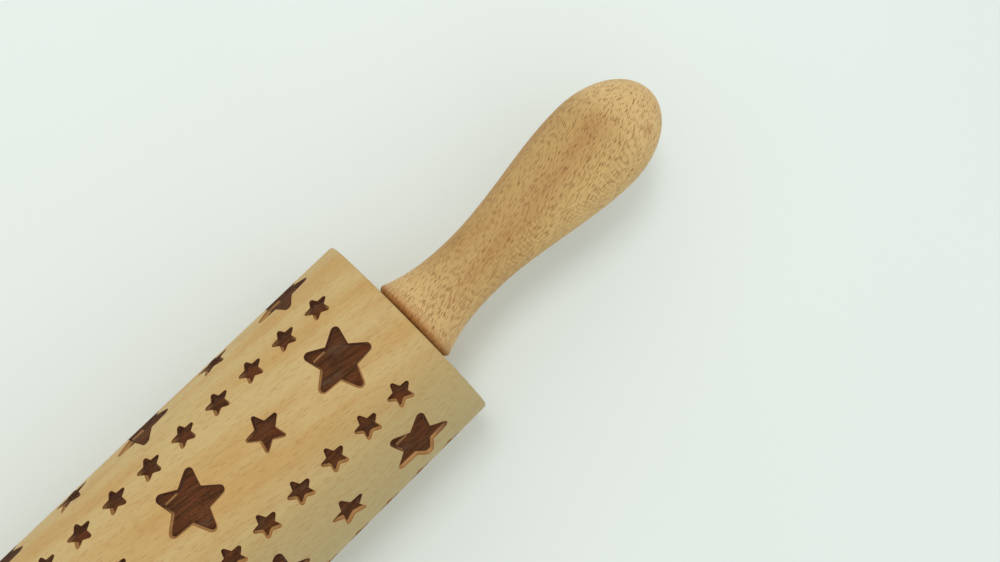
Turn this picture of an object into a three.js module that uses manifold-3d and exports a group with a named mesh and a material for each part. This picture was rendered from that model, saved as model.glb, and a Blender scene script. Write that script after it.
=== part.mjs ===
// A beech embossing rolling pin with a star pattern engraved round its roller.
// Millimetres, +Z up. X runs along the pin's axis. The origin is on the table, under the roller's middle.
//
// The roller turns freely on a steel axle rod. Its bore ends in two flanged nylon bushes. Outside each bush
// a thrust washer and a thin hexagon nut set the end play, and a turned handle is screwed on to the rod's end
// by a brass insert until it locks against the nut.

import * as THREE from 'three';
import { mergeGeometries, mergeVertices } from 'three/addons/utils/BufferGeometryUtils.js';
import Module from 'manifold-3d';

const wasm = await Module();
wasm.setup();

// ---- driving dimensions --------------------------------------------------------------------------------

const FIT_GAP = 0.1; // radial gap between pieces that are pressed or screwed together
const RUNNING_GAP = 0.08; // radial gap between the rod and the bushes that turn on it
const FACE_GAP = 0.3; // gap between faces that bear on each other
const ROUND_SIDES = 32; // sides of the small round pieces

const ROLLER_RADIUS = 30;
const ROLLER_LENGTH = 250;
const ROLLER_EDGE = 0.8; // chamfer round both ends
const END_RECESS_RADIUS = 13.6; // shallow recess in each end that clears the handle's rim
const END_RECESS_DEPTH = 0.5;
const ROLLER_BORE_RADIUS = 5.5;
const ROLLER_SIDES = 36; // three to each row of stars

const ROD_RADIUS = 4;
const ROD_LENGTH = 340;
const ROD_CHAMFER = 0.8;

const BUSH_RADIUS = 8;
const BUSH_LENGTH = 18;
const FLANGE_RADIUS = 10;
const FLANGE_THICKNESS = 1.5;

const WASHER_RADIUS = 7.5;
const WASHER_THICKNESS = 0.8;
const WASHER_BORE_RADIUS = 4.2;

const NUT_WIDTH_ACROSS_FLATS = 13;
const NUT_THICKNESS = 4;
const NUT_BORE_RADIUS = ROD_RADIUS + FIT_GAP;

const INSERT_RADIUS = 6;
const INSERT_LENGTH = 20;

const HANDLE_GAP = 0.8; // from the roller's end face to the handle's flat base
const HANDLE_LENGTH = 94.2;
const HANDLE_RIM_RADIUS = 13.1;
const HANDLE_RIM_ROUNDING = 1.6;
const HANDLE_WAIST_RADIUS = 9.65;
const HANDLE_WAIST_AT = 23.2; // from the handle's base
const HANDLE_BELLY_RADIUS = 15;
const HANDLE_BELLY_AT = 72.2; // from the handle's base
const NUT_POCKET_RADIUS = 8;
const ROD_HOLE_RADIUS = 4.5;
const ROD_HOLE_SPARE = 3; // room beyond the rod's end

// The star pattern: rows along the axis, in pairs of one row of small stars and one row of big stars with a
// medium one between each two.
const ROW_PAIRS = 6;
const ENGRAVING_DEPTH = 1.1;
const FIRST_ROW_ANGLE = THREE.MathUtils.degToRad(80); // first row of big stars, from +Y towards +Z
const SMALL_ROW_LAG = THREE.MathUtils.degToRad(1.5); // a small row lies this far past the middle of its gap
const SMALL_STAR = { tip: 3.6, notch: 1.95, first: 13.9, pitch: 11.02, count: 21 };
const BIG_STAR = { tip: 8.8, notch: 4.75, first: 19.0, pitch: 47.76, count: 5, curvedFloor: true };
const MEDIUM_STAR = { tip: 5.1, notch: 2.65, first: 42.9, pitch: 47.76, count: 5 };

const AXIS_HEIGHT = ROLLER_RADIUS;

// ---- materials -----------------------------------------------------------------------------------------

function finish(color, roughness, metalness) {
  return new THREE.MeshStandardMaterial({ color, roughness, metalness });
}

const rollerBeech = finish(0xd8bc8a, 0.6, 0);
const handleBeech = finish(0xd9ad7b, 0.55, 0);
const steel = finish(0xb4b6b8, 0.3, 1);
const zincSteel = finish(0xc3c5c4, 0.35, 1);
const brass = finish(0xc9a44a, 0.35, 1);
const nylon = finish(0xe9e6dc, 0.5, 0);

// ---- solids --------------------------------------------------------------------------------------------

function toSolid(geometry) {
  const bare = geometry.index ? geometry.toNonIndexed() : geometry.clone();
  bare.deleteAttribute('normal');
  bare.deleteAttribute('uv');
  const merged = mergeVertices(bare, 1e-4);
  const mesh = new wasm.Mesh({
    numProp: 3,
    vertProperties: new Float32Array(merged.attributes.position.array),
    triVerts: new Uint32Array(merged.index.array),
  });
  return new wasm.Manifold(mesh);
}

function toGeometry(solid) {
  const mesh = solid.getMesh();
  const geometry = new THREE.BufferGeometry();
  geometry.setAttribute('position', new THREE.BufferAttribute(new Float32Array(mesh.vertProperties), 3));
  geometry.setIndex(new THREE.BufferAttribute(new Uint32Array(mesh.triVerts), 1));
  geometry.computeVertexNormals();
  return geometry;
}

// Turns an outline of (radius, distance along X) points round the X axis.
function turned(outline, sides = ROUND_SIDES) {
  const points = outline.map(([radius, along]) => new THREE.Vector2(radius, along));
  points.push(points[0].clone());
  const geometry = new THREE.LatheGeometry(points, sides);
  geometry.rotateZ(-Math.PI / 2);
  return geometry;
}

// A round tube or disc from x = from to x = to.
function ring(innerRadius, outerRadius, from, to, sides = ROUND_SIDES) {
  return turned([[innerRadius, from], [outerRadius, from], [outerRadius, to], [innerRadius, to]], sides);
}

function starShape({ tip, notch }, pointsUp) {
  const shape = new THREE.Shape();
  const corners = 10;
  for (let i = 0; i < corners; i += 1) {
    const radius = i % 2 === 0 ? tip : notch;
    const angle = (pointsUp ? 0.5 : -0.5) * Math.PI + (i * 2 * Math.PI) / corners;
    const x = radius * Math.cos(angle);
    const y = radius * Math.sin(angle);
    if (i === 0) shape.moveTo(x, y);
    else shape.lineTo(x, y);
  }
  shape.closePath();
  return shape;
}

// A star prism that cuts inwards to the engraving's depth: X along the pin, Y round it, Z outwards, before
// it is turned to its row. A star wide enough to feel the roller's curve gets a floor of the same curve.
function starCutter(star, pointsUp, along, angle) {
  const floor = ROLLER_RADIUS - ENGRAVING_DEPTH;
  const sag = star.curvedFloor ? ROLLER_RADIUS - Math.sqrt(ROLLER_RADIUS ** 2 - star.tip ** 2) : 0;
  const prism = new THREE.ExtrudeGeometry(starShape(star, pointsUp), {
    depth: ENGRAVING_DEPTH + sag + 1,
    bevelEnabled: false,
  });
  prism.translate(0, 0, floor - sag);
  prism.rotateX(angle - Math.PI / 2);
  prism.translate(along, 0, 0);
  const cutter = toSolid(prism);
  if (!star.curvedFloor) return cutter;
  const core = ring(0, floor, along - star.tip, along + star.tip, ROLLER_SIDES);
  return cutter.subtract(toSolid(core));
}

// ---- pieces ----------------------------------------------------------------------------------------------

function starRow(star, pointsUp, angle) {
  const cutters = [];
  for (let i = 0; i < star.count; i += 1) {
    const along = ROLLER_LENGTH / 2 - star.first - i * star.pitch;
    cutters.push(starCutter(star, pointsUp, along, angle));
  }
  return cutters;
}

function starPattern() {
  const cutters = [];
  const pairAngle = (2 * Math.PI) / ROW_PAIRS;
  for (let pair = 0; pair < ROW_PAIRS; pair += 1) {
    const angle = FIRST_ROW_ANGLE + pair * pairAngle;
    cutters.push(...starRow(BIG_STAR, false, angle));
    cutters.push(...starRow(MEDIUM_STAR, true, angle));
    cutters.push(...starRow(SMALL_STAR, true, angle + pairAngle / 2 + SMALL_ROW_LAG));
  }
  return wasm.Manifold.union(cutters);
}

function rollerBlank() {
  const end = ROLLER_LENGTH / 2;
  const socket = BUSH_RADIUS + FIT_GAP;
  const flangeSeat = FLANGE_RADIUS + FIT_GAP;
  const recessFloor = end - END_RECESS_DEPTH;
  const flangeFloor = recessFloor - FLANGE_THICKNESS - FACE_GAP;
  const socketFloor = flangeFloor - BUSH_LENGTH;
  const half = [
    [ROLLER_RADIUS, end - ROLLER_EDGE],
    [ROLLER_RADIUS - ROLLER_EDGE, end],
    [END_RECESS_RADIUS, end],
    [END_RECESS_RADIUS, recessFloor],
    [flangeSeat, recessFloor],
    [flangeSeat, flangeFloor],
    [socket, flangeFloor],
    [socket, socketFloor],
    [ROLLER_BORE_RADIUS, socketFloor],
  ];
  const mirrored = half.map(([radius, along]) => [radius, -along]).reverse();
  return turned([...mirrored, ...half], ROLLER_SIDES);
}

function roller() {
  return toGeometry(toSolid(rollerBlank()).subtract(starPattern()));
}

function axleRod() {
  const end = ROD_LENGTH / 2;
  return turned([
    [0, -end],
    [ROD_RADIUS - ROD_CHAMFER, -end],
    [ROD_RADIUS, -end + ROD_CHAMFER],
    [ROD_RADIUS, end - ROD_CHAMFER],
    [ROD_RADIUS - ROD_CHAMFER, end],
    [0, end],
  ]);
}

// The pieces below are made for the +X end, with x measured from the roller's end face.

const BUSH_FACE = -END_RECESS_DEPTH; // the flange lies flush with the floor of the recess

function bush() {
  const bore = ROD_RADIUS + RUNNING_GAP;
  return turned([
    [bore, BUSH_FACE - FLANGE_THICKNESS - BUSH_LENGTH],
    [BUSH_RADIUS, BUSH_FACE - FLANGE_THICKNESS - BUSH_LENGTH],
    [BUSH_RADIUS, BUSH_FACE - FLANGE_THICKNESS],
    [FLANGE_RADIUS, BUSH_FACE - FLANGE_THICKNESS],
    [FLANGE_RADIUS, BUSH_FACE],
    [bore, BUSH_FACE],
  ]);
}

const WASHER_AT = BUSH_FACE + FACE_GAP;
const NUT_AT = WASHER_AT + WASHER_THICKNESS + FACE_GAP;
const INSERT_AT = NUT_AT + NUT_THICKNESS + FACE_GAP;

function thrustWasher() {
  return ring(WASHER_BORE_RADIUS, WASHER_RADIUS, WASHER_AT, WASHER_AT + WASHER_THICKNESS);
}

function jamNut() {
  const corner = NUT_WIDTH_ACROSS_FLATS / 2 / Math.cos(Math.PI / 6);
  const chamfer = 0.5;
  const hexagon = toSolid(ring(0, corner, NUT_AT, NUT_AT + NUT_THICKNESS, 6));
  const cone = toSolid(turned([
    [0, NUT_AT],
    [corner - chamfer, NUT_AT],
    [corner + chamfer / 2, NUT_AT + chamfer],
    [corner + chamfer / 2, NUT_AT + NUT_THICKNESS - chamfer],
    [corner - chamfer, NUT_AT + NUT_THICKNESS],
    [0, NUT_AT + NUT_THICKNESS],
  ]));
  const bore = toSolid(ring(0, NUT_BORE_RADIUS, NUT_AT - 1, NUT_AT + NUT_THICKNESS + 1));
  return toGeometry(hexagon.intersect(cone).subtract(bore));
}

// A threaded insert: a brass sleeve with a coarse outer thread, drawn as a row of V-shaped ridges.
function threadedInsert() {
  const ridges = 8;
  const pitch = INSERT_LENGTH / ridges;
  const depth = 0.8;
  const bore = ROD_RADIUS + FIT_GAP;
  const outline = [[bore, INSERT_AT]];
  for (let i = 0; i < ridges; i += 1) {
    outline.push([INSERT_RADIUS - depth, INSERT_AT + i * pitch]);
    outline.push([INSERT_RADIUS, INSERT_AT + (i + 0.5) * pitch]);
  }
  outline.push([INSERT_RADIUS - depth, INSERT_AT + INSERT_LENGTH]);
  outline.push([bore, INSERT_AT + INSERT_LENGTH]);
  return turned(outline, 24);
}

// The handle's outside, as (radius, distance from its base): a rounded rim, a waist, a belly and a round tip.
function handleOutside() {
  const corner = HANDLE_RIM_RADIUS - HANDLE_RIM_ROUNDING;
  const rim = new THREE.EllipseCurve(
    corner, HANDLE_RIM_ROUNDING, HANDLE_RIM_ROUNDING, HANDLE_RIM_ROUNDING, -Math.PI / 2, 0);
  const neck = new THREE.CubicBezierCurve(
    new THREE.Vector2(HANDLE_RIM_RADIUS, HANDLE_RIM_ROUNDING),
    new THREE.Vector2(11, 0.3 * HANDLE_WAIST_AT),
    new THREE.Vector2(HANDLE_WAIST_RADIUS, 0.55 * HANDLE_WAIST_AT),
    new THREE.Vector2(HANDLE_WAIST_RADIUS, HANDLE_WAIST_AT));
  const swell = (HANDLE_BELLY_AT - HANDLE_WAIST_AT) / 3;
  const body = new THREE.CubicBezierCurve(
    new THREE.Vector2(HANDLE_WAIST_RADIUS, HANDLE_WAIST_AT),
    new THREE.Vector2(HANDLE_WAIST_RADIUS, HANDLE_WAIST_AT + swell),
    new THREE.Vector2(HANDLE_BELLY_RADIUS, HANDLE_BELLY_AT - swell),
    new THREE.Vector2(HANDLE_BELLY_RADIUS, HANDLE_BELLY_AT));
  const tip = new THREE.EllipseCurve(
    0, HANDLE_BELLY_AT, HANDLE_BELLY_RADIUS, HANDLE_LENGTH - HANDLE_BELLY_AT, 0, Math.PI / 2);
  return [
    ...rim.getPoints(2),
    ...neck.getPoints(4).slice(1),
    ...body.getPoints(6).slice(1),
    ...tip.getPoints(6).slice(1),
  ].map((point) => [point.x, point.y]);
}

function handle() {
  const at = (along) => along - HANDLE_GAP;
  const insertRadius = INSERT_RADIUS + FIT_GAP;
  const insertEnd = at(INSERT_AT + INSERT_LENGTH + FACE_GAP);
  const nutFloor = at(INSERT_AT - FACE_GAP / 2);
  const holeEnd = at((ROD_LENGTH - ROLLER_LENGTH) / 2 + ROD_HOLE_SPARE);
  const outline = [
    [NUT_POCKET_RADIUS, 0],
    ...handleOutside(),
    [0, holeEnd],
    [ROD_HOLE_RADIUS, holeEnd],
    [ROD_HOLE_RADIUS, insertEnd],
    [insertRadius, insertEnd],
    [insertRadius, nutFloor],
    [NUT_POCKET_RADIUS, nutFloor],
  ];
  return turned(outline.map(([radius, along]) => [Math.max(radius, 0), along + HANDLE_GAP]));
}

// ---- assembly --------------------------------------------------------------------------------------------

function piece(name, geometry, material) {
  const mesh = new THREE.Mesh(geometry, material);
  mesh.name = name;
  return mesh;
}

function endGroup(side) {
  const group = new THREE.Group();
  group.add(
    piece(`bush_${side}`, bush(), nylon),
    piece(`thrust_washer_${side}`, thrustWasher(), steel),
    piece(`jam_nut_${side}`, jamNut(), zincSteel),
    piece(`threaded_insert_${side}`, threadedInsert(), brass),
    piece(`handle_${side}`, handle(), handleBeech),
  );
  return group;
}

const rightEnd = endGroup('right');
rightEnd.position.x = ROLLER_LENGTH / 2;

const leftEnd = endGroup('left');
leftEnd.rotation.z = Math.PI;
leftEnd.position.x = -ROLLER_LENGTH / 2;

const pin = new THREE.Group();
pin.position.z = AXIS_HEIGHT;
pin.add(piece('roller', roller(), rollerBeech), piece('axle_rod', axleRod(), steel), rightEnd, leftEnd);

export default pin;
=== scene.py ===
"""A beech embossing rolling pin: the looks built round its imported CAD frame.

+Z is up, X runs along the pin and the table is z = 0. Lengths are millimetres, and MM turns them into
Blender's metres; only the table, the light and the camera are placed in metres. The roller is one mesh with
every star really cut into it, and the other pieces are profiles turned about the pin's axis.
"""

import math

import bmesh
import bpy
import numpy as np
from mathutils import Matrix, Vector, noise
from mathutils.geometry import delaunay_2d_cdt


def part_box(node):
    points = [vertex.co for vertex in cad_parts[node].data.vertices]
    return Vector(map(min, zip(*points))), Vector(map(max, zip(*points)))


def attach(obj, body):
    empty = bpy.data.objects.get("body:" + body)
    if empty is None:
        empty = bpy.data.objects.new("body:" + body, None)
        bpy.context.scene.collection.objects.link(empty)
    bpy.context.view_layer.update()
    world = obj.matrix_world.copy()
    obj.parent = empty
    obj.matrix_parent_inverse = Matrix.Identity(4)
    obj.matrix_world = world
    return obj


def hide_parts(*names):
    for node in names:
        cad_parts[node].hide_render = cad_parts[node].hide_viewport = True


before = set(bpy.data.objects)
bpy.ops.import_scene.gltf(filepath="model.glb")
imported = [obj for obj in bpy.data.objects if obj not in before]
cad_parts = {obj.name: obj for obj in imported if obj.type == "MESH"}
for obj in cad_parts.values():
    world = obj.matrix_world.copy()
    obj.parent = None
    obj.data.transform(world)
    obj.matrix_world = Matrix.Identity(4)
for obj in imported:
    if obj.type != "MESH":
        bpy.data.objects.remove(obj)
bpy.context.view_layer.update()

MM = 0.001
WELD = 2e-7  # metres: vertices closer than this are one


# ---- measures from the frame -----------------------------------------------------------------------------

def size_of(node):
    """(where a piece of the +X end starts, where it ends, its outer radius), in millimetres."""
    low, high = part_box(node)
    return low.x / MM, high.x / MM, (high.z - low.z) / 2 / MM


roller_low, roller_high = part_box("roller")
AXIS_Z = (roller_low.z + roller_high.z) / 2 / MM
RADIUS = (roller_high.z - roller_low.z) / 2 / MM
HALF_LENGTH = (roller_high.x - roller_low.x) / 2 / MM

# ---- the engraved pattern, as it is in the CAD part ------------------------------------------------------

ROW_PAIRS = 6
ENGRAVING_DEPTH = 1.1
FIRST_ROW_ANGLE = math.radians(80)
PAIR_ANGLE = 2 * math.pi / ROW_PAIRS
SMALL_ROW_ANGLE = PAIR_ANGLE / 2 + math.radians(1.5)

# tip is where the straight sides would meet; tip_round takes it back to the CAD star's size. arcs are the
# steps of the arc at a tip and at a notch. first is from the roller's end to the middle of the first star.
BIG = {"tip": 10.5, "notch": 4.75, "tip_round": 1.15, "notch_round": 0.25, "arcs": (6, 2), "side_steps": 4,
       "first": 19.0, "pitch": 47.76, "count": 5, "up": False, "angle": 0.0, "ridge": True}
MEDIUM = {"tip": 5.8, "notch": 2.6, "tip_round": 0.5, "notch_round": 0.25, "arcs": (6, 2), "side_steps": 2,
          "first": 42.9, "pitch": 47.76, "count": 5, "up": True, "angle": 0.0, "ridge": False}
SMALL = {"tip": 4.3, "notch": 1.95, "tip_round": 0.5, "notch_round": 0.25, "arcs": (4, 1), "side_steps": 1,
         "first": 13.9, "pitch": 11.02, "count": 21, "up": True, "angle": SMALL_ROW_ANGLE, "ridge": False}
SHARPEST = 0.05  # the smallest radius of a star's corner

# the wall of a star from the surface down: (how far the outline grows, share of the depth, how burnt it is)
WALL = [(0.45, 0.0, 0.0), (0.14, 0.0, 0.12), (0.05, 0.02, 0.6), (-0.02, 0.12, 0.64), (-0.12, 0.45, 0.3),
        (-0.24, 0.86, 0.38), (-0.32, 0.97, 0.75), (-0.42, 1.0, 1.0)]
PAINTED_WALL_SHADE = 0.85  # painted shade: how far the walls on the side facing away from the light are darkened towards burnt brown
LIT_WALL_SIDE = (-0.45, -0.9)  # the way to the walls that face the light, from a star's middle: along the pin and round it; the walls facing the other way get painted shade

# the thin ridge left standing in each big star: half widths, height, and its place from the star's middle
RIDGE_FOOT = 0.28
RIDGE_TOP = 0.14
RIDGE_HEIGHT = 0.5
RIDGE_START = -4.65
RIDGE_END = -0.85
RIDGE_SIDE = 4.45
RIDGE_SCORCH = 0.58  # the floor's points have it too, but the floor's own material makes no use of it
RIDGE_CLEARANCE = (0.6, 0.5, 0.15)  # kept free of floor points before it, after it and beside it

FLOOR_STEP_ALONG = 1.1
FLOOR_STEP_ROUND = 0.42
FLOOR_MARGIN = 0.28  # from a star's outline to the first points of its floor

# ---- the roller's mesh and ends --------------------------------------------------------------------------

STRIP_START = math.radians(-18.5)
STRIP_COLUMNS = 84
RIM_COLUMNS = 24
SURFACE_MARGIN = 0.5  # from a star's outline to the nearest points of the plain surface
STAR_REACH = 20  # no star lies further than this from the first point of its outline

ROLLER_EDGE = 0.9
RECESS_RADIUS = 13.6
RECESS_DEPTH = 0.5
RECESS_CHAMFER = 0.2
FLANGE_SEAT_RADIUS = 10.1
FLANGE_THICKNESS = 1.5
FACE_GAP = 0.3
SOCKET_RADIUS = 8.1
BORE_RADIUS = 5.5
END_FACE_RINGS = (26, 22, 18)

WOOD, FLOOR = 0, 1  # material slots

# ---- the turned pieces -----------------------------------------------------------------------------------

ROD_CHAMFER = 0.8
ROD_THREAD = {"depth": 0.6, "pitch": 1.25, "rows_each": 0.3125, "length": 46}
ROD_STEPS = 32

BUSH_RADIUS = 8
BUSH_LENGTH = 18
BUSH_CLEARANCE = 0.08
BUSH_BEVEL = 0.3

WASHER_BORE_RADIUS = 4.2
WASHER_BEVEL = 0.15
ROUND_STEPS = 64

NUT_BORE_RADIUS = 4.1
NUT_BORE_CHAMFER = 0.3
NUT_ACROSS_FLATS = 13
NUT_CHAMFER = 0.75
NUT_CONE = 0.5  # how deep a nut's coned edge goes, at its corners
NUT_CONE_MIDDLE = 0.22
NUT_STEPS = 96

INSERT_BORE_RADIUS = 4.1
INSERT_CHAMFER = 0.6
INSERT_THREAD = {"depth": 0.55, "pitch": 2.4, "rows_each": 0.4}
INSERT_STEPS = 48

HANDLE_RIM_RADIUS = 13.1
HANDLE_RIM_ROUNDING = 1.6
HANDLE_WAIST_RADIUS = 9.65
HANDLE_WAIST_AT = 23.2
HANDLE_BELLY_AT = 72.2
HANDLE_NECK_PULLS = ((0.3, 11), (0.55, HANDLE_WAIST_RADIUS))  # (share of the way to the waist, radius)
HANDLE_STEPS = 96
NUT_POCKET_RADIUS = 8
NUT_POCKET_DEPTH = 4.25
INSERT_HOLE_RADIUS = 6.1
INSERT_HOLE_END = 24.7
ROD_HOLE_RADIUS = 4.5
ROD_HOLE_END = 47.2
SANDING = 0.06  # how far hand sanding took the grip off round
GRIP_NARROWEST = HANDLE_WAIST_RADIUS - 0.2  # the holes and the very tip are narrower, and stay round

# ---- table, light and camera, in metres ------------------------------------------------------------------

TABLE_HALF = 3.0
WINDOW_AT = (0.22, 0.47, 1.55)
WINDOW_AIM = (0.12, 0, 0.02)
WINDOW_SIZE = 0.45
WINDOW_POWER = 5.4
ROOM_COLOUR = (1, 1, 0.975, 1)
ROOM_LIGHT = 0.795
CAMERA_AT = (0.1161, -0.0068, 0.3041)
CAMERA_FORWARD = (0.1282, -0.0062, -0.9917)
CAMERA_UP = (0.6947, 0.7142, 0.0854)
LENS_AND_SENSOR = 36.0  # the lens is as long as the sensor is wide
CLIP_START = 0.01


# ---- outlines --------------------------------------------------------------------------------------------

def unit(v):
    return v / np.linalg.norm(v)


def grown(corners, amount):
    """A polygon, anticlockwise, with each side moved outwards by amount."""
    out = []
    for i, corner in enumerate(corners):
        before = unit(corner - corners[i - 1])
        after = unit(corners[(i + 1) % len(corners)] - corner)
        normal_before = np.array([before[1], -before[0]])
        normal_after = np.array([after[1], -after[0]])
        middle = normal_before + normal_after
        out.append(corner + middle * amount / (1 + normal_before @ normal_after))
    return out


def corner_arc(before, corner, after, radius, steps):
    """The arc that rounds a corner between its two neighbours."""
    back = unit(before - corner)
    ahead = unit(after - corner)
    half = math.acos(np.clip(back @ ahead, -1, 1)) / 2
    centre = corner + unit(back + ahead) * radius / math.sin(half)
    start = corner + back * radius / math.tan(half) - centre
    end = corner + ahead * radius / math.tan(half) - centre
    turn = math.atan2(start[0] * end[1] - start[1] * end[0], start @ end)
    arc = []
    for k in range(steps + 1):
        c, s = math.cos(turn * k / steps), math.sin(turn * k / steps)
        arc.append(centre + np.array([c * start[0] - s * start[1], s * start[0] + c * start[1]]))
    return arc


def rounded(corners, radii, arc_steps, side_steps):
    """A polygon with rounded corners, each side also cut into equal steps."""
    count = len(corners)
    arcs = [corner_arc(corners[i - 1], corners[i], corners[(i + 1) % count], radii[i], arc_steps[i])
            for i in range(count)]
    points = []
    for i, arc in enumerate(arcs):
        points += arc
        goal = arcs[(i + 1) % count][0]
        for k in range(1, side_steps):
            points.append(arc[-1] + (goal - arc[-1]) * k / side_steps)
    return points


def star_outline(star, grow):
    """The star's rounded outline in its own plane: X along the pin, Y round it."""
    turn = math.pi / 2 if star["up"] else -math.pi / 2
    corners, radii, steps = [], [], []
    for i in range(10):
        is_tip = i % 2 == 0
        reach = star["tip"] if is_tip else star["notch"]
        angle = turn + i * math.pi / 5
        corners.append(np.array([reach * math.cos(angle), reach * math.sin(angle)]))
        radius = star["tip_round"] + grow if is_tip else star["notch_round"] - grow
        radii.append(max(radius, SHARPEST))
        steps.append(star["arcs"][0 if is_tip else 1])
    return rounded(grown(corners, grow), radii, steps, star["side_steps"])


def inside(point, outline):
    """Whether a 2-D point lies in an outline, by counting crossings."""
    x, y = point
    hit = False
    for i, (x0, y0) in enumerate(outline):
        x1, y1 = outline[i - 1]
        if (y0 > y) != (y1 > y) and x < (x1 - x0) * (y - y0) / (y1 - y0) + x0:
            hit = not hit
    return hit


def clear_of(point, outline, gap):
    """Whether a 2-D point is further than gap from every point of an outline."""
    return min((point[0] - q[0]) ** 2 + (point[1] - q[1]) ** 2 for q in outline) > gap * gap


def loop_edges(first, count):
    """The edges of a closed loop of points that are numbered from first."""
    return [(first + i, first + (i + 1) % count) for i in range(count)]


def middle_of(face, points):
    return [sum(points[i][k] for i in face) / 3 for k in (0, 1)]


def triangles(points, edges):
    """Faces of a constrained triangulation, naming the points as given even where two of them coincide."""
    flat = [Vector(p) for p in points]
    _, _, faces, originals, _, _ = delaunay_2d_cdt(flat, edges, [], 0, 1e-6)
    return [[originals[i][0] for i in face] for face in faces]


# ---- the roller ------------------------------------------------------------------------------------------

class Body:
    """Points as (mm along the pin, angle round it, mm from its axis, scorch with painted shade), and faces
    of two kinds.
    """

    def __init__(self):
        self.points = []
        self.faces = []
        self.kinds = []

    def add(self, along, angle, radius, scorch_and_shade=0.0):
        self.points.append((along, angle, radius, scorch_and_shade))
        return len(self.points) - 1

    def face(self, corners, kind):
        self.faces.append(tuple(corners))
        self.kinds.append(kind)


def star_places():
    """(star, x of its middle, angle of its row) for every star of one pair of rows."""
    places = []
    for star in (BIG, MEDIUM, SMALL):
        for i in range(star["count"]):
            places.append((star, HALF_LENGTH - star["first"] - i * star["pitch"], star["angle"]))
    return places


def surface_grid(outlines):
    """Points over one sixth of the surface, clear of the stars but on the whole of its border."""
    end = HALF_LENGTH - ROLLER_EDGE
    bottom = STRIP_START * RADIUS
    width = PAIR_ANGLE * RADIUS
    points = []
    for i in range(STRIP_COLUMNS + 1):
        for j in range(RIM_COLUMNS + 1):
            y = bottom + j * width / RIM_COLUMNS
            if i in (0, STRIP_COLUMNS) or j in (0, RIM_COLUMNS):
                points.append((-end + i * 2 * end / STRIP_COLUMNS, y))
                continue
            shift = 0.5 if j % 2 else 0
            p = (-end + (i + shift) * 2 * end / STRIP_COLUMNS, y)
            near = [o for o in outlines if abs(o[0][0] - p[0]) < STAR_REACH]
            if not any(inside(p, o) or not clear_of(p, o, SURFACE_MARGIN) for o in near):
                points.append(p)
    return points


def surface_strip(body):
    """One sixth of the roller's surface, with a hole for each star. Returns the loop round each hole."""
    points, edges, outlines, loops, owner = [], [], [], [], {}
    for number, (star, along, angle) in enumerate(star_places()):
        outline = [(along + p[0], angle * RADIUS - p[1]) for p in star_outline(star, WALL[0][0])]
        loop = list(range(len(points), len(points) + len(outline)))
        edges += loop_edges(loop[0], len(outline))
        points += outline
        outlines.append(outline)
        loops.append(loop)
        owner.update({index: number for index in loop})
    points += surface_grid(outlines)
    for x, y in points:
        body.add(x, y / RADIUS, RADIUS)
    for face in triangles(points, edges):
        owners = {owner.get(i) for i in face}
        in_one_star = len(owners) == 1 and None not in owners
        if in_one_star and inside(middle_of(face, points), outlines[owners.pop()]):
            continue
        body.face(face, WOOD)
    return loops


def floor_depth(x, y):
    """The engraving's depth at a place on a star's floor: fine ridges left by the tool along the pin."""
    streak = noise.noise(Vector((x * 0.12, y * 3.1, 4.0)))
    grain = noise.noise(Vector((x * 0.5, y * 1.3, 9.0)))
    return ENGRAVING_DEPTH + 0.05 * streak + 0.04 * grain


def near_ridge(point):
    """Whether a floor point would crowd the ridge."""
    before, after, beside = RIDGE_CLEARANCE
    is_beside = abs(point[1] - RIDGE_SIDE) < RIDGE_FOOT + beside
    return is_beside and RIDGE_START - before < point[0] < RIDGE_END + after


def add_ridge(points, depths, edges):
    """The ridge's foot and top, one rectangle inside the other. Returns the numbers of its points."""
    ridge_points = set()
    for half_width, lift in ((RIDGE_FOOT, 0.0), (RIDGE_TOP, RIDGE_HEIGHT)):
        inset = RIDGE_FOOT - half_width
        low, high = RIDGE_START + inset, RIDGE_END - inset
        first = len(points)
        points += [(low, RIDGE_SIDE - half_width), (high, RIDGE_SIDE - half_width),
                   (high, RIDGE_SIDE + half_width), (low, RIDGE_SIDE + half_width)]
        depths += [ENGRAVING_DEPTH - lift] * 4
        edges += loop_edges(first, 4)
        ridge_points.update(range(first, first + 4))
    return ridge_points


def floor_grid(reach, outline, has_ridge):
    """Points inside a star's floor, clear of its outline and of its ridge."""
    points = []
    for i in range(int(-reach / FLOOR_STEP_ALONG), int(reach / FLOOR_STEP_ALONG) + 1):
        for j in range(int(-reach / FLOOR_STEP_ROUND), int(reach / FLOOR_STEP_ROUND) + 1):
            p = ((i + 0.5 * (j % 2)) * FLOOR_STEP_ALONG, j * FLOOR_STEP_ROUND)
            if has_ridge and near_ridge(p):
                continue
            if inside(p, outline) and clear_of(p, outline, FLOOR_MARGIN):
                points.append(p)
    return points


def star_floor(body, star, along, angle, loop, outline):
    """Triangulates a star's floor inside its last wall loop."""
    points = [tuple(p) for p in outline]
    depths = [ENGRAVING_DEPTH] * len(points)
    edges = loop_edges(0, len(points))
    ridge_points = add_ridge(points, depths, edges) if star["ridge"] else set()
    grid = floor_grid(star["tip"], outline, star["ridge"])
    points += grid
    depths += [floor_depth(along + p[0], angle * RADIUS - p[1]) for p in grid]
    names = list(loop)
    for p, depth in zip(points[len(loop):], depths[len(loop):]):
        names.append(body.add(along + p[0], angle - p[1] / RADIUS, RADIUS - depth, RIDGE_SCORCH))
    for face in triangles(points, edges):
        on_outline = all(i < len(loop) for i in face)
        if on_outline and not inside(middle_of(face, points), outline):
            continue
        on_ridge = all(i in ridge_points for i in face)
        body.face([names[i] for i in reversed(face)], WOOD if on_ridge else FLOOR)


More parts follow.
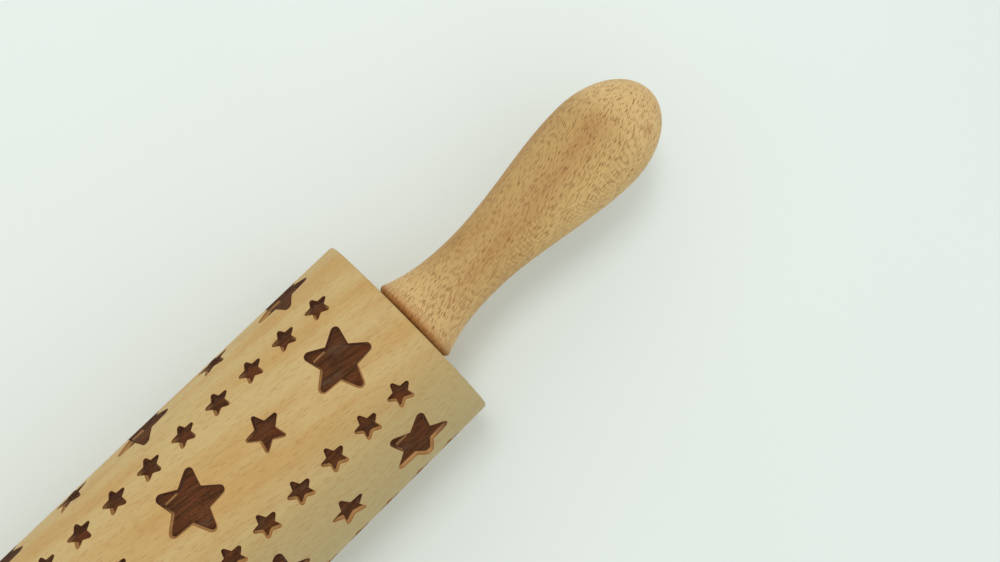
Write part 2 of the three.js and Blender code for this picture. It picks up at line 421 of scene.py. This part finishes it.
def wall_scorch_and_shade(point, share, scorch_and_shade):
    """How burnt a wall is, with painted shade: its own value on the side that faces the light, and darkened
    nearly to burnt through on the side facing away from it.
    """
    if share == 0:
        return scorch_and_shade
    lit_side = (point[0] * LIT_WALL_SIDE[0] + point[1] * LIT_WALL_SIDE[1]) / math.hypot(*point)
    shaded = min(max(0.5 - 1.1 * lit_side, 0), 1)
    return scorch_and_shade + (1 - scorch_and_shade) * PAINTED_WALL_SHADE * shaded


def cut_star(body, star, along, angle, loop):
    """The wall of one star, loop by loop, and then its floor."""
    outlines = [star_outline(star, grow) for grow, _, _ in WALL]
    count = len(outlines[0])
    upper = loop
    for outline, (_, share, scorch_and_shade) in list(zip(outlines, WALL))[1:]:
        depth = share * ENGRAVING_DEPTH
        lower = []
        for p in outline:
            # a wall's scorch, with painted shade on the side facing away from the light
            burnt_and_shaded = wall_scorch_and_shade(p, share, scorch_and_shade)
            lower.append(body.add(along + p[0], angle - p[1] / RADIUS, RADIUS - depth, burnt_and_shaded))
        for i in range(count):
            k = (i + 1) % count
            body.face((upper[i], lower[i], lower[k], upper[k]), WOOD)
        upper = lower
    star_floor(body, star, along, angle, upper, outlines[-1])


def end_profile():
    """(radius, x) from the surface in to the bore: rounded edge, end face, recess, flange seat, socket."""
    edge = []
    for degrees in range(0, 91, 15):
        inwards = ROLLER_EDGE * (1 - math.cos(math.radians(degrees)))
        short = ROLLER_EDGE * (1 - math.sin(math.radians(degrees)))
        edge.append((RADIUS - inwards, HALF_LENGTH - short))
    recess = HALF_LENGTH - RECESS_DEPTH
    seat = recess - FLANGE_THICKNESS - FACE_GAP
    socket = seat - BUSH_LENGTH
    face = [(r, HALF_LENGTH) for r in (*END_FACE_RINGS, RECESS_RADIUS + RECESS_CHAMFER)]
    steps = [(RECESS_RADIUS, HALF_LENGTH - RECESS_CHAMFER), (RECESS_RADIUS, recess),
             (FLANGE_SEAT_RADIUS, recess), (FLANGE_SEAT_RADIUS, seat),
             (SOCKET_RADIUS, seat), (SOCKET_RADIUS, socket), (BORE_RADIUS, socket)]
    return edge + face + steps


def add_ends(body):
    """Both ends and the bore, turned with the same steps as the edge of the surface."""
    half = end_profile()
    profile = half + [(r, -x) for r, x in reversed(half)]
    steps = RIM_COLUMNS * ROW_PAIRS
    rings = []
    for radius, along in profile:
        rings.append([body.add(along, STRIP_START + k * 2 * math.pi / steps, radius) for k in range(steps)])
    for a, b in zip(rings, rings[1:]):
        for k in range(steps):
            n = (k + 1) % steps
            body.face((a[k], a[n], b[n], b[k]), WOOD)


def joined(turned_bodies):
    """The points, faces and kinds of several (body, turn about the axis) pairs, as one set."""
    points, faces, kinds = [], [], []
    offset = 0
    for body, turn in turned_bodies:
        moved = np.array(body.points)
        moved[:, 1] += turn
        points.append(moved)
        faces += [tuple(i + offset for i in face) for face in body.faces]
        kinds += body.kinds
        offset += len(moved)
    return np.concatenate(points), faces, kinds


def finished(bm, name):
    """A mesh with its faces smooth and turned outwards."""
    bmesh.ops.recalc_face_normals(bm, faces=bm.faces)
    for face in bm.faces:
        face.smooth = True
    mesh = bpy.data.meshes.new(name)
    bm.to_mesh(mesh)
    bm.free()
    return mesh


def roller_mesh():
    """The whole roller: six strips of engraved surface, both ends and the bore, welded into one."""
    strip = Body()
    loops = surface_strip(strip)
    for (star, along, angle), loop in zip(star_places(), loops):
        cut_star(strip, star, along, angle, loop)
    ends = Body()
    add_ends(ends)
    p, faces, kinds = joined([(strip, pair * PAIR_ANGLE) for pair in range(ROW_PAIRS)] + [(ends, 0.0)])
    angle = p[:, 1] + FIRST_ROW_ANGLE
    xyz = np.stack([p[:, 0], p[:, 2] * np.cos(angle), p[:, 2] * np.sin(angle) + AXIS_Z], 1) * MM
    loose = bpy.data.meshes.new("loose_roller")
    loose.from_pydata(xyz.tolist(), [], faces)
    loose.polygons.foreach_set("material_index", kinds)
    # the scorch attribute also carries the painted shade of the walls that face away from the light
    loose.attributes.new("scorch_and_shade", "FLOAT", "POINT").data.foreach_set("value", p[:, 3].astype(np.float32))
    bm = bmesh.new()
    bm.from_mesh(loose)
    bpy.data.meshes.remove(loose)
    bmesh.ops.remove_doubles(bm, verts=bm.verts, dist=WELD)
    return finished(bm, "engraved_roller")


# ---- materials -------------------------------------------------------------------------------------------

def colour(red, green, blue):
    """A display colour, 0 to 255, as linear light."""
    parts = [c / 255 for c in (red, green, blue)]
    return (*[c / 12.92 if c < 0.04045 else ((c + 0.055) / 1.055) ** 2.4 for c in parts], 1.0)


class Tree:
    """A material's node tree, with one method for each kind of node used below."""

    def __init__(self, name, roughness, specular=0.3, metallic=0.0):
        self.material = bpy.data.materials.new(name)
        self.material.use_nodes = True
        self.nodes = self.material.node_tree.nodes
        self.links = self.material.node_tree.links
        self.shader = self.nodes["Principled BSDF"]
        self.shader.inputs["Roughness"].default_value = roughness
        self.shader.inputs["Specular IOR Level"].default_value = specular
        self.shader.inputs["Metallic"].default_value = metallic

    def put(self, socket, value):
        if isinstance(value, bpy.types.NodeSocket):
            self.links.new(value, socket)
        else:
            socket.default_value = value

    def mapping(self, vector, **settings):
        node = self.nodes.new("ShaderNodeMapping")
        for name, value in settings.items():
            node.inputs[name].default_value = value
        self.put(node.inputs["Vector"], vector)
        return node.outputs["Vector"]

    def place(self, turn=(0, 0, 0), scale=(1, 1, 1), offset=(0, 0, 0)):
        """Object coordinates in millimetres, turned by degrees about X, Y and Z and then scaled."""
        coordinates = self.nodes.new("ShaderNodeTexCoord").outputs["Object"]
        radians = [math.radians(degrees) for degrees in turn]
        per_millimetre = (1 / MM, 1 / MM, 1 / MM)
        turned = self.mapping(coordinates, Rotation=radians, Scale=per_millimetre, Location=offset)
        return self.mapping(turned, Scale=scale)

    def wrapped(self, radius, turn, scale):
        """Millimetres along the pin, round it at a radius and out from its axis, turned, then scaled."""
        split = self.nodes.new("ShaderNodeSeparateXYZ")
        self.put(split.inputs["Vector"], self.place())
        across = split.outputs["Y"]
        up = self.math("SUBTRACT", split.outputs["Z"], AXIS_Z)
        squares = self.math("ADD", self.math("MULTIPLY", across, across), self.math("MULTIPLY", up, up))
        join = self.nodes.new("ShaderNodeCombineXYZ")
        self.put(join.inputs["X"], split.outputs["X"])
        self.put(join.inputs["Y"], self.math("MULTIPLY", self.math("ARCTAN2", across, up), radius))
        self.put(join.inputs["Z"], self.math("SQRT", squares))
        turned = self.mapping(join.outputs["Vector"], Rotation=(0, 0, math.radians(turn)))
        return self.mapping(turned, Scale=scale)

    def noise(self, vector, detail=3.0, roughness=0.55):
        node = self.nodes.new("ShaderNodeTexNoise")
        node.inputs["Scale"].default_value = 1.0
        node.inputs["Detail"].default_value = detail
        node.inputs["Roughness"].default_value = roughness
        self.put(node.inputs["Vector"], vector)
        return node.outputs["Fac"]

    def cells(self, vector):
        """Distance to the nearest of many scattered points, and a random number for each point."""
        node = self.nodes.new("ShaderNodeTexVoronoi")
        node.inputs["Scale"].default_value = 1.0
        self.put(node.inputs["Vector"], vector)
        split = self.nodes.new("ShaderNodeSeparateColor")
        self.put(split.inputs["Color"], node.outputs["Color"])
        return node.outputs["Distance"], split.outputs["Red"]

    def math(self, operation, *values):
        node = self.nodes.new("ShaderNodeMath")
        node.operation = operation
        for socket, value in zip(node.inputs, values):
            self.put(socket, value)
        return node.outputs["Value"]

    def range(self, value, low, high, out_low=0.0, out_high=1.0):
        """A smooth step from out_low where value is low to out_high where it is high."""
        node = self.nodes.new("ShaderNodeMapRange")
        node.interpolation_type = "SMOOTHSTEP"
        limits = {"From Min": low, "From Max": high, "To Min": out_low, "To Max": out_high}
        for name, number in limits.items():
            node.inputs[name].default_value = number
        self.put(node.inputs["Value"], value)
        return node.outputs["Result"]

    def mix(self, factor, first, second):
        node = self.nodes.new("ShaderNodeMix")
        node.data_type = "RGBA"
        self.put(node.inputs[0], factor)
        self.put(node.inputs[6], first)
        self.put(node.inputs[7], second)
        return node.outputs[2]

    def attribute(self, name):
        node = self.nodes.new("ShaderNodeAttribute")
        node.attribute_name = name
        return node.outputs["Fac"]

    def surface_direction(self):
        """Which way the surface faces, in the object's own frame."""
        return self.nodes.new("ShaderNodeTexCoord").outputs["Normal"]

    def component(self, vector, direction):
        """How far along a direction a point lies."""
        node = self.nodes.new("ShaderNodeVectorMath")
        node.operation = "DOT_PRODUCT"
        node.inputs[1].default_value = direction
        self.put(node.inputs[0], vector)
        return node.outputs["Value"]

    def bump(self, height, depth, strength):
        """Relief up to a depth in millimetres."""
        node = self.nodes.new("ShaderNodeBump")
        node.inputs["Distance"].default_value = depth * MM
        node.inputs["Strength"].default_value = strength
        self.put(node.inputs["Height"], height)
        self.put(self.shader.inputs["Normal"], node.outputs["Normal"])

    def finish(self, base, roughness=None):
        self.put(self.shader.inputs["Base Color"], base)
        if roughness is not None:
            self.put(self.shader.inputs["Roughness"], roughness)
        return self.material


# Two planks of beech. slant turns the grain, in degrees about X, Y and Z. bands, rings, fibres and flecks
# are strengths. Growth rings appear as the surface turns to face ring_facing, from the first of ring_limits
# to the second: there the lathe cut along them, and they open into nested arcs. The roller's limits are
# below -1, so its rings show all round. Between its two limits, on the side away from the window, the
# colour turns cooler and less saturated: painted fill light.
# rays are the radius and the turn at which the flecks are wrapped round the pin, and how small they are.
ROLLER_BEECH = {
    "pale": colour(200, 174, 118), "warm": colour(193, 153, 90), "line": colour(176, 130, 74),
    "fleck": colour(160, 108, 60), "painted_fill": colour(181, 163, 114), "painted_fill_limits": (36, 50),
    "slant": (0, 3, 9), "offset": (20, 5, 0), "ring_normal": (0.0, 0.5, 0.87),
    "ring_facing": (0.0, 0.5, 0.87), "ring_limits": (-3, -2), "ring_pitch": 3.4, "ring_wander": 7.0,
    "rays": (30, 9, (0.36, 2.7, 2.0)), "bands": 0.8, "rings": 0.16, "fibres": 0.34, "flecks": 0.36}
HANDLE_BEECH = {
    "pale": colour(192, 158, 99), "warm": colour(176, 134, 77), "line": colour(158, 106, 56),
    "fleck": colour(137, 84, 43), "painted_fill": colour(211, 180, 118), "painted_fill_limits": (24, 34),
    "slant": (-35, -2, -16), "offset": (0, 0, 0), "ring_normal": (0.32, -0.05, 0.95),
    "ring_facing": (0.2, -0.57, 0.8), "ring_limits": (0.72, 0.94), "ring_pitch": 0.62, "ring_wander": 2.2,
    "rays": (13, -15, (0.46, 3.5, 0.25)), "bands": 0.75, "rings": 0.36, "fibres": 0.55, "flecks": 1.0}
# painted fill light: the side away from the window, painted a cooler, less saturated colour
PAINTED_FILL_SIDE = (0.0, -0.866, 0.5)
PAINTED_FILL_WANDER = 8.0  # how far the border of the painted fill light strays
RIM_GRAIN_AND_BOUNCE = 4.5  # how far the warm tone at a handle's base reaches along it: the end grain's own tone and painted bounce light from the roller's end
ALONG_PIN = (1.0, 0.0, 0.0)


def plank_tone(tree, wood):
    """Soft bands of two tones along the grain, painted a cooler, less saturated colour on the side away
    from the window: painted fill light.
    """
    soft = tree.noise(tree.place(wood["slant"], (0.016, 0.11, 0.11), wood["offset"]), 3.0)
    base = tree.mix(tree.range(soft, 0.38, 0.66, 0.0, wood["bands"]), wood["pale"], wood["warm"])
    fill_side = tree.component(tree.place(), PAINTED_FILL_SIDE)
    fill_side = tree.math("ADD", fill_side, tree.math("MULTIPLY", soft, PAINTED_FILL_WANDER))
    return tree.mix(tree.range(fill_side, *wood["painted_fill_limits"]), base, wood["painted_fill"])


def facing_tip(tree):
    """How squarely a handle's surface faces its own tip, from -1 to 1."""
    side = tree.math("SIGN", tree.component(tree.place(), ALONG_PIN))
    return tree.math("MULTIPLY", side, tree.component(tree.surface_direction(), ALONG_PIN))


def turned_tone(tree, base, to_tip):
    """A handle is paler where the lathe cut across the grain, and warmer next to its base: the end grain's
    tone and painted bounce light from the roller's end.
    """
    base = tree.mix(tree.range(to_tip, -0.06, 0.32, 0.0, 0.9), base, colour(221, 188, 129))
    from_middle = tree.math("ABSOLUTE", tree.component(tree.place(), ALONG_PIN))
    rim, _, _ = size_of("handle_right")
    # the warm band at the base: end grain tone and painted bounce light from the roller's end
    return tree.mix(tree.range(from_middle, rim + RIM_GRAIN_AND_BOUNCE, rim, 0.0, 0.6), base, colour(180, 113, 60))


def growth_rings(tree, wood):
    """Where the darker late wood of a growth ring shows."""
    wander = tree.noise(tree.place(wood["slant"], (0.03, 0.09, 0.09), wood["offset"]), 2.0)
    height = tree.component(tree.place(wood["slant"], offset=wood["offset"]), wood["ring_normal"])
    height = tree.math("ADD", height, tree.math("MULTIPLY", wander, wood["ring_wander"]))
    wave = tree.math("SINE", tree.math("MULTIPLY", height, 2 * math.pi / wood["ring_pitch"]))
    patch = tree.noise(tree.place(wood["slant"], (0.05, 0.2, 0.2), wood["offset"]), 2.0)
    facing = tree.range(tree.component(tree.surface_direction(), wood["ring_facing"]), *wood["ring_limits"])
    shown = tree.math("MULTIPLY", tree.range(patch, 0.42, 0.6), facing)
    return tree.math("MULTIPLY", tree.range(wave, 0.1, 1.0, 0.0, wood["rings"]), shown)


def ray_flecks(tree, wood):
    """Where the short dark flecks of the wood's rays show."""
    distance, pick = tree.cells(tree.wrapped(*wood["rays"]))
    kept = tree.range(pick, 0.0, 0.5, 0.3, 1.0)
    shape = tree.math("MULTIPLY", tree.range(distance, 0.45, 0.18), kept)
    return tree.math("MULTIPLY", shape, wood["flecks"])


def burnt_and_shaded(tree, base, fibre):
    """The walls of the stars, browned and then burnt by the engraver; on the walls facing away from the
    light the dark brown is also painted shade.
    """
    burn_and_shade = tree.math("MULTIPLY", tree.attribute("scorch_and_shade"), tree.range(fibre, 0.3, 0.7, 1.1, 0.85))
    fresh = tree.mix(tree.range(burn_and_shade, 0.02, 0.3), base, colour(196, 146, 88))
    # dark brown: burnt wood, and painted shade on the walls that face away from the light
    return tree.mix(tree.range(burn_and_shade, 0.2, 0.95), fresh, colour(74, 43, 25))


def beech(name, wood, is_handle):
    """Sanded beech: plank tones, growth rings, fibres and ray flecks, then what was done to the piece."""
    tree = Tree(name, 0.55, 0.25)
    base = plank_tone(tree, wood)
    mark = ray_flecks(tree, wood)
    if is_handle:
        to_tip = facing_tip(tree)
        base = turned_tone(tree, base, to_tip)
        mark = tree.math("MULTIPLY", mark, tree.range(to_tip, 0.6, 0.95, 1.0, 0.15))
    base = tree.mix(growth_rings(tree, wood), base, wood["line"])
    fibre = tree.noise(tree.place(wood["slant"], (0.13, 2.4, 2.4), wood["offset"]), 5.0, 0.65)
    base = tree.mix(tree.range(fibre, 0.5, 0.72, 0.0, wood["fibres"]), base, wood["line"])
    base = tree.mix(tree.range(fibre, 0.46, 0.3, 0.0, wood["fibres"] * 0.6), base, wood["pale"])
    base = tree.mix(mark, base, wood["fleck"])
    if not is_handle:
        base = burnt_and_shaded(tree, base, fibre)
    tree.bump(tree.math("SUBTRACT", fibre, mark), 0.05, 0.35)
    return tree.finish(base, tree.range(fibre, 0.3, 0.7, 0.48, 0.66))


def charred():
    """A star's floor: wood burnt brown by the engraver, in streaks along the grain."""
    tree = Tree("burnt_beech", 0.85, 0.1)
    slant = ROLLER_BEECH["slant"]
    streak = tree.noise(tree.place(slant, (0.1, 1.5, 1.5)), 4.0, 0.6)
    patch = tree.noise(tree.place(slant, (0.1, 0.28, 0.28)), 2.0)
    grit = tree.noise(tree.place(slant, (1.1, 3.2, 3.2)), 3.0)
    base = tree.mix(tree.range(streak, 0.32, 0.68), colour(68, 41, 23), colour(104, 63, 36))
    base = tree.mix(tree.range(patch, 0.5, 0.72, 0.0, 0.5), base, colour(122, 64, 34))
    base = tree.mix(tree.range(patch, 0.46, 0.3, 0.0, 0.45), base, colour(98, 78, 62))
    base = tree.mix(tree.range(grit, 0.5, 0.72, 0.0, 0.7), base, colour(42, 24, 14))
    tree.bump(tree.math("ADD", streak, tree.math("MULTIPLY", grit, 0.6)), 0.14, 0.6)
    return tree.finish(base)


def metal(name, shade, dark, roughness):
    """Machined metal: fine rings left by the tool and a faint uneven tarnish."""
    tree = Tree(name, roughness, 0.5, 1.0)
    tarnish = tree.noise(tree.place(scale=(0.3, 0.3, 0.3)), 4.0)
    rings = tree.noise(tree.place(scale=(5.0, 0.2, 0.2)), 2.0)
    tree.bump(rings, 0.02, 0.4)
    base = tree.mix(tree.range(tarnish, 0.4, 0.7), shade, dark)
    return tree.finish(base, tree.range(tarnish, 0.3, 0.7, roughness - 0.06, roughness + 0.12))


def nylon():
    """The bushes' white plastic, slightly mottled."""
    tree = Tree("white_nylon", 0.42, 0.4)
    mottle = tree.noise(tree.place(scale=(0.5, 0.5, 0.5)), 4.0)
    tree.bump(mottle, 0.03, 0.3)
    base = tree.mix(tree.range(mottle, 0.35, 0.7), colour(236, 233, 222), colour(220, 215, 200))
    return tree.finish(base, tree.range(mottle, 0.3, 0.7, 0.36, 0.5))


def paper_white():
    """The plain pale table, with the faintest unevenness."""
    tree = Tree("pale_table", 0.75, 0.15)
    cloud = tree.noise(tree.place(scale=(0.004, 0.004, 0.004)), 2.0)
    return tree.finish(tree.mix(tree.range(cloud, 0.3, 0.7), colour(235, 243, 240), colour(231, 240, 236)))


roller_wood = beech("roller_beech_wood", ROLLER_BEECH, False)
handle_wood = beech("handle_beech_wood", HANDLE_BEECH, True)
burnt_wood = charred()
steel = metal("bright_steel", colour(182, 184, 186), colour(140, 142, 145), 0.32)
zinc = metal("zinc_plate", colour(190, 192, 188), colour(160, 164, 158), 0.3)
brass = metal("insert_brass", colour(206, 170, 92), colour(168, 130, 66), 0.3)
bush_white = nylon()


# ---- pieces ----------------------------------------------------------------------------------------------

def show(name, mesh, materials, body, node, sharp=40):
    """Makes a piece of a mesh, in place of one CAD node. Edges past sharp degrees stay crisp."""
    piece = bpy.data.objects.new(name, mesh)
    bpy.context.scene.collection.objects.link(piece)
    for material in materials:
        mesh.materials.append(material)
    mesh.set_sharp_from_angle(angle=math.radians(sharp))
    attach(piece, body)
    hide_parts(node)


def turned_mesh(name, outline, side, steps, shape=None):
    """Turns a closed outline of (mm along the pin, radius) about the axis. shape may change a radius."""
    bm = bmesh.new()
    rings = []
    for along, radius in outline:
        ring = []
        for k in range(steps):
            angle = 2 * math.pi * k / steps
            r = shape(along, radius, angle) if shape else radius
            ring.append(bm.verts.new((side * along * MM, r * math.cos(angle) * MM,
                                      (r * math.sin(angle) + AXIS_Z) * MM)))
        rings.append(ring)
    for a, b in zip(rings, rings[1:] + rings[:1]):
        for k in range(steps):
            n = (k + 1) % steps
            bm.faces.new((a[k], a[n], b[n], b[k]))
    bmesh.ops.remove_doubles(bm, verts=bm.verts, dist=WELD)
    bare_edges = [edge for edge in bm.edges if not edge.link_faces]
    bmesh.ops.delete(bm, geom=bare_edges, context="EDGES")
    return finished(bm, name)


def bevelled(corners, amount, steps=3):
    """A closed outline with each corner rounded off by a curve that starts amount before it."""
    out = []
    for i, corner in enumerate(corners):
        here = np.array(corner, float)
        before = unit(np.array(corners[i - 1], float) - here)
        after = unit(np.array(corners[(i + 1) % len(corners)], float) - here)
        for k in range(steps + 1):
            t = k / steps
            p = here + before * amount * (1 - t) ** 2 + after * amount * t ** 2
            out.append((float(p[0]), float(p[1])))
    return out


def thread(crest, depth, pitch, start, end):
    """A shape for turned_mesh: a helical groove between start and end on whatever reaches the crest."""
    def shape(along, radius, angle):
        if abs(radius - crest) > 1e-3 or not start < along < end:
            return radius
        turns = (along - start) / pitch - angle / (2 * math.pi)
        saw = abs(2 * (turns - math.floor(turns)) - 1)
        fade = min(1, (along - start) / pitch, (end - along) / pitch)
        return radius - depth * saw * fade
    return shape


def threaded_both_ends(radius, end):
    """A shape for the rod: the same thread at both ends, mirrored."""
    near = thread(radius, ROD_THREAD["depth"], ROD_THREAD["pitch"], end - ROD_THREAD["length"], end)

    def shape(along, r, angle):
        return near(abs(along), r, angle if along > 0 else -angle)
    return shape


def hexagon(across):
    """A shape for a nut: six flats."""
    def shape(along, radius, angle):
        if radius < across / 2 - NUT_CHAMFER:
            return radius
        off = (angle % (math.pi / 3)) - math.pi / 6
        return min(radius, across / 2 / math.cos(off))
    return shape


def hand_sanded(along, radius, angle):
    """A shape for a handle: its grip is a little off round."""
    if radius < GRIP_NARROWEST:
        return radius
    place = Vector((along * 0.06, 1.3 * math.cos(angle), 1.3 * math.sin(angle)))
    return radius - SANDING * (0.5 + 0.5 * noise.noise(place))


def curve(a, b, c, d, count):
    """Points on a cubic Bezier curve after its first."""
    points = []
    for k in range(1, count + 1):
        t = k / count
        weights = ((1 - t) ** 3, 3 * t * (1 - t) ** 2, 3 * t * t * (1 - t), t ** 3)
        points.append(tuple(sum(w * p[i] for w, p in zip(weights, (a, b, c, d))) for i in (0, 1)))
    return points


def handle_outline():
    """(mm along the pin, radius) of a handle: its base from the pocket out, its grip, and its holes."""
    base, tip, belly_radius = size_of("handle_right")
    corner = HANDLE_RIM_RADIUS - HANDLE_RIM_ROUNDING
    rim = [(HANDLE_RIM_ROUNDING * (1 - math.cos(a)), corner + HANDLE_RIM_ROUNDING * math.sin(a))
           for a in (math.radians(d) for d in range(0, 91, 10))]
    waist = (HANDLE_WAIST_AT, HANDLE_WAIST_RADIUS)
    belly = (HANDLE_BELLY_AT, belly_radius)
    pulls = [(share * HANDLE_WAIST_AT, radius) for share, radius in HANDLE_NECK_PULLS]
    neck = curve((HANDLE_RIM_ROUNDING, HANDLE_RIM_RADIUS), *pulls, waist, 22)
    swell = (HANDLE_BELLY_AT - HANDLE_WAIST_AT) / 3
    grip = curve(waist, (waist[0] + swell, waist[1]), (belly[0] - swell, belly[1]), belly, 36)
    dome_length = tip - base - HANDLE_BELLY_AT
    dome = [(HANDLE_BELLY_AT + dome_length * math.sin(a), belly_radius * math.cos(a))
            for a in (math.radians(d) for d in range(4, 91, 4))]
    dome.append((tip - base, 0.0))
    holes = [(ROD_HOLE_END, 0.0), (ROD_HOLE_END, ROD_HOLE_RADIUS), (INSERT_HOLE_END, ROD_HOLE_RADIUS),
             (INSERT_HOLE_END, INSERT_HOLE_RADIUS), (NUT_POCKET_DEPTH, INSERT_HOLE_RADIUS),
             (NUT_POCKET_DEPTH, NUT_POCKET_RADIUS)]
    outline = [(0.0, NUT_POCKET_RADIUS)] + rim + neck + grip + dome + holes
    return [(base + along, radius) for along, radius in outline]


def add_rod():
    """One rod from end to end: plain in the middle, with rows close enough for a thread at each end."""
    _, end, radius = size_of("axle_rod")
    each = ROD_THREAD["rows_each"]
    rows = [end - ROD_CHAMFER - i * each for i in range(int(ROD_THREAD["length"] / each))]
    half = [(end, 0.0), (end, radius - ROD_CHAMFER)] + [(x, radius) for x in rows]
    outline = half + [(-x, r) for x, r in reversed(half)]
    mesh = turned_mesh("steel_axle_rod", outline, 1, ROD_STEPS, threaded_both_ends(radius, end))
    show("steel_axle_rod", mesh, [steel], "axle_and_handles", "axle_rod")


def add_bush(side, end_name):
    """A flanged bush that runs on the rod."""
    start, end, radius = size_of("bush_right")
    _, _, rod_radius = size_of("axle_rod")
    bore = rod_radius + BUSH_CLEARANCE
    flange = end - FLANGE_THICKNESS
    corners = [(start, bore), (start, BUSH_RADIUS), (flange, BUSH_RADIUS), (flange, radius), (end, radius),
               (end, bore)]
    mesh = turned_mesh("nylon_bush", bevelled(corners, BUSH_BEVEL), side, ROUND_STEPS)
    show(f"nylon_bush_{end_name}", mesh, [bush_white], "roller", f"bush_{end_name}")


def add_washer(side, end_name):
    start, end, radius = size_of("thrust_washer_right")
    corners = [(start, WASHER_BORE_RADIUS), (start, radius), (end, radius), (end, WASHER_BORE_RADIUS)]
    mesh = turned_mesh("steel_washer", bevelled(corners, WASHER_BEVEL), side, ROUND_STEPS)
    show(f"steel_washer_{end_name}", mesh, [steel], "axle_and_handles", f"thrust_washer_{end_name}")


def add_nut(side, end_name):
    """A thin hexagon nut with coned faces."""
    start, end, _ = size_of("jam_nut_right")
    corner = NUT_ACROSS_FLATS / 2 / math.cos(math.pi / 6)
    cone = [(0.0, corner - NUT_CHAMFER), (NUT_CONE_MIDDLE, corner - NUT_CHAMFER / 2), (NUT_CONE, corner)]
    outline = [(start, NUT_BORE_RADIUS + NUT_BORE_CHAMFER)]
    outline += [(start + depth, radius) for depth, radius in cone]
    outline += [(end - depth, radius) for depth, radius in reversed(cone)]
    outline += [(end, NUT_BORE_RADIUS + NUT_BORE_CHAMFER), (end - NUT_BORE_CHAMFER, NUT_BORE_RADIUS),
                (start + NUT_BORE_CHAMFER, NUT_BORE_RADIUS)]
    mesh = turned_mesh("zinc_nut", outline, side, NUT_STEPS, hexagon(NUT_ACROSS_FLATS))
    show(f"zinc_nut_{end_name}", mesh, [zinc], "axle_and_handles", f"jam_nut_{end_name}", 25)


def add_insert(side, end_name):
    """A brass insert with a coarse wood thread."""
    start, end, radius = size_of("threaded_insert_right")
    each = INSERT_THREAD["rows_each"]
    count = int((end - start - 2 * INSERT_CHAMFER) / each) + 1
    outline = [(start, INSERT_BORE_RADIUS), (start, radius - INSERT_CHAMFER)]
    outline += [(start + INSERT_CHAMFER + i * each, radius) for i in range(count)]
    outline += [(end, radius - INSERT_CHAMFER), (end, INSERT_BORE_RADIUS)]
    coarse = thread(radius, INSERT_THREAD["depth"], INSERT_THREAD["pitch"], start, end)
    mesh = turned_mesh("brass_insert", outline, side, INSERT_STEPS, coarse)
    show(f"brass_insert_{end_name}", mesh, [brass], "axle_and_handles", f"threaded_insert_{end_name}")


def add_handle(side, end_name):
    mesh = turned_mesh("beech_handle", handle_outline(), side, HANDLE_STEPS, hand_sanded)
    show(f"beech_handle_{end_name}", mesh, [handle_wood], "axle_and_handles", f"handle_{end_name}",
         60)


add_rod()
show("engraved_roller", roller_mesh(), [roller_wood, burnt_wood], "roller", "roller", 50)
for side, end_name in ((1, "right"), (-1, "left")):
    for add_piece in (add_bush, add_washer, add_nut, add_insert, add_handle):
        add_piece(side, end_name)

# ---- table, light and camera -----------------------------------------------------------------------------

def add_table():
    mesh = bpy.data.meshes.new("table")
    corners = [(-1, -1), (1, -1), (1, 1), (-1, 1)]
    mesh.from_pydata([(x * TABLE_HALF, y * TABLE_HALF, 0) for x, y in corners], [], [(0, 1, 2, 3)])
    mesh.materials.append(paper_white())
    table = bpy.data.objects.new("table", mesh)
    bpy.context.scene.collection.objects.link(table)


def add_light():
    """One soft window above the pin, and an even room round it."""
    data = bpy.data.lights.new("window", "AREA")
    data.shape = "SQUARE"
    data.size = WINDOW_SIZE
    data.energy = WINDOW_POWER
    lamp = bpy.data.objects.new("window", data)
    lamp.location = WINDOW_AT
    lamp.rotation_euler = (Vector(WINDOW_AIM) - Vector(WINDOW_AT)).to_track_quat("-Z", "Y").to_euler()
    bpy.context.scene.collection.objects.link(lamp)
    world = bpy.data.worlds.new("studio")
    bpy.context.scene.world = world
    world.use_nodes = True
    room = world.node_tree.nodes["Background"]
    room.inputs["Color"].default_value = ROOM_COLOUR
    room.inputs["Strength"].default_value = ROOM_LIGHT


def add_camera():
    """Looks almost straight down at one end of the pin."""
    forward = Vector(CAMERA_FORWARD).normalized()
    right = forward.cross(Vector(CAMERA_UP)).normalized()
    up = right.cross(forward)
    data = bpy.data.cameras.new("camera")
    data.lens = LENS_AND_SENSOR
    data.sensor_width = LENS_AND_SENSOR
    data.clip_start = CLIP_START
    camera = bpy.data.objects.new("camera", data)
    turn = Matrix((right, up, -forward)).transposed().to_4x4()
    camera.matrix_world = Matrix.Translation(CAMERA_AT) @ turn
    bpy.context.scene.collection.objects.link(camera)
    bpy.context.scene.camera = camera


add_table()
add_light()
add_camera()
bpy.context.scene.view_settings.view_transform = "Standard"
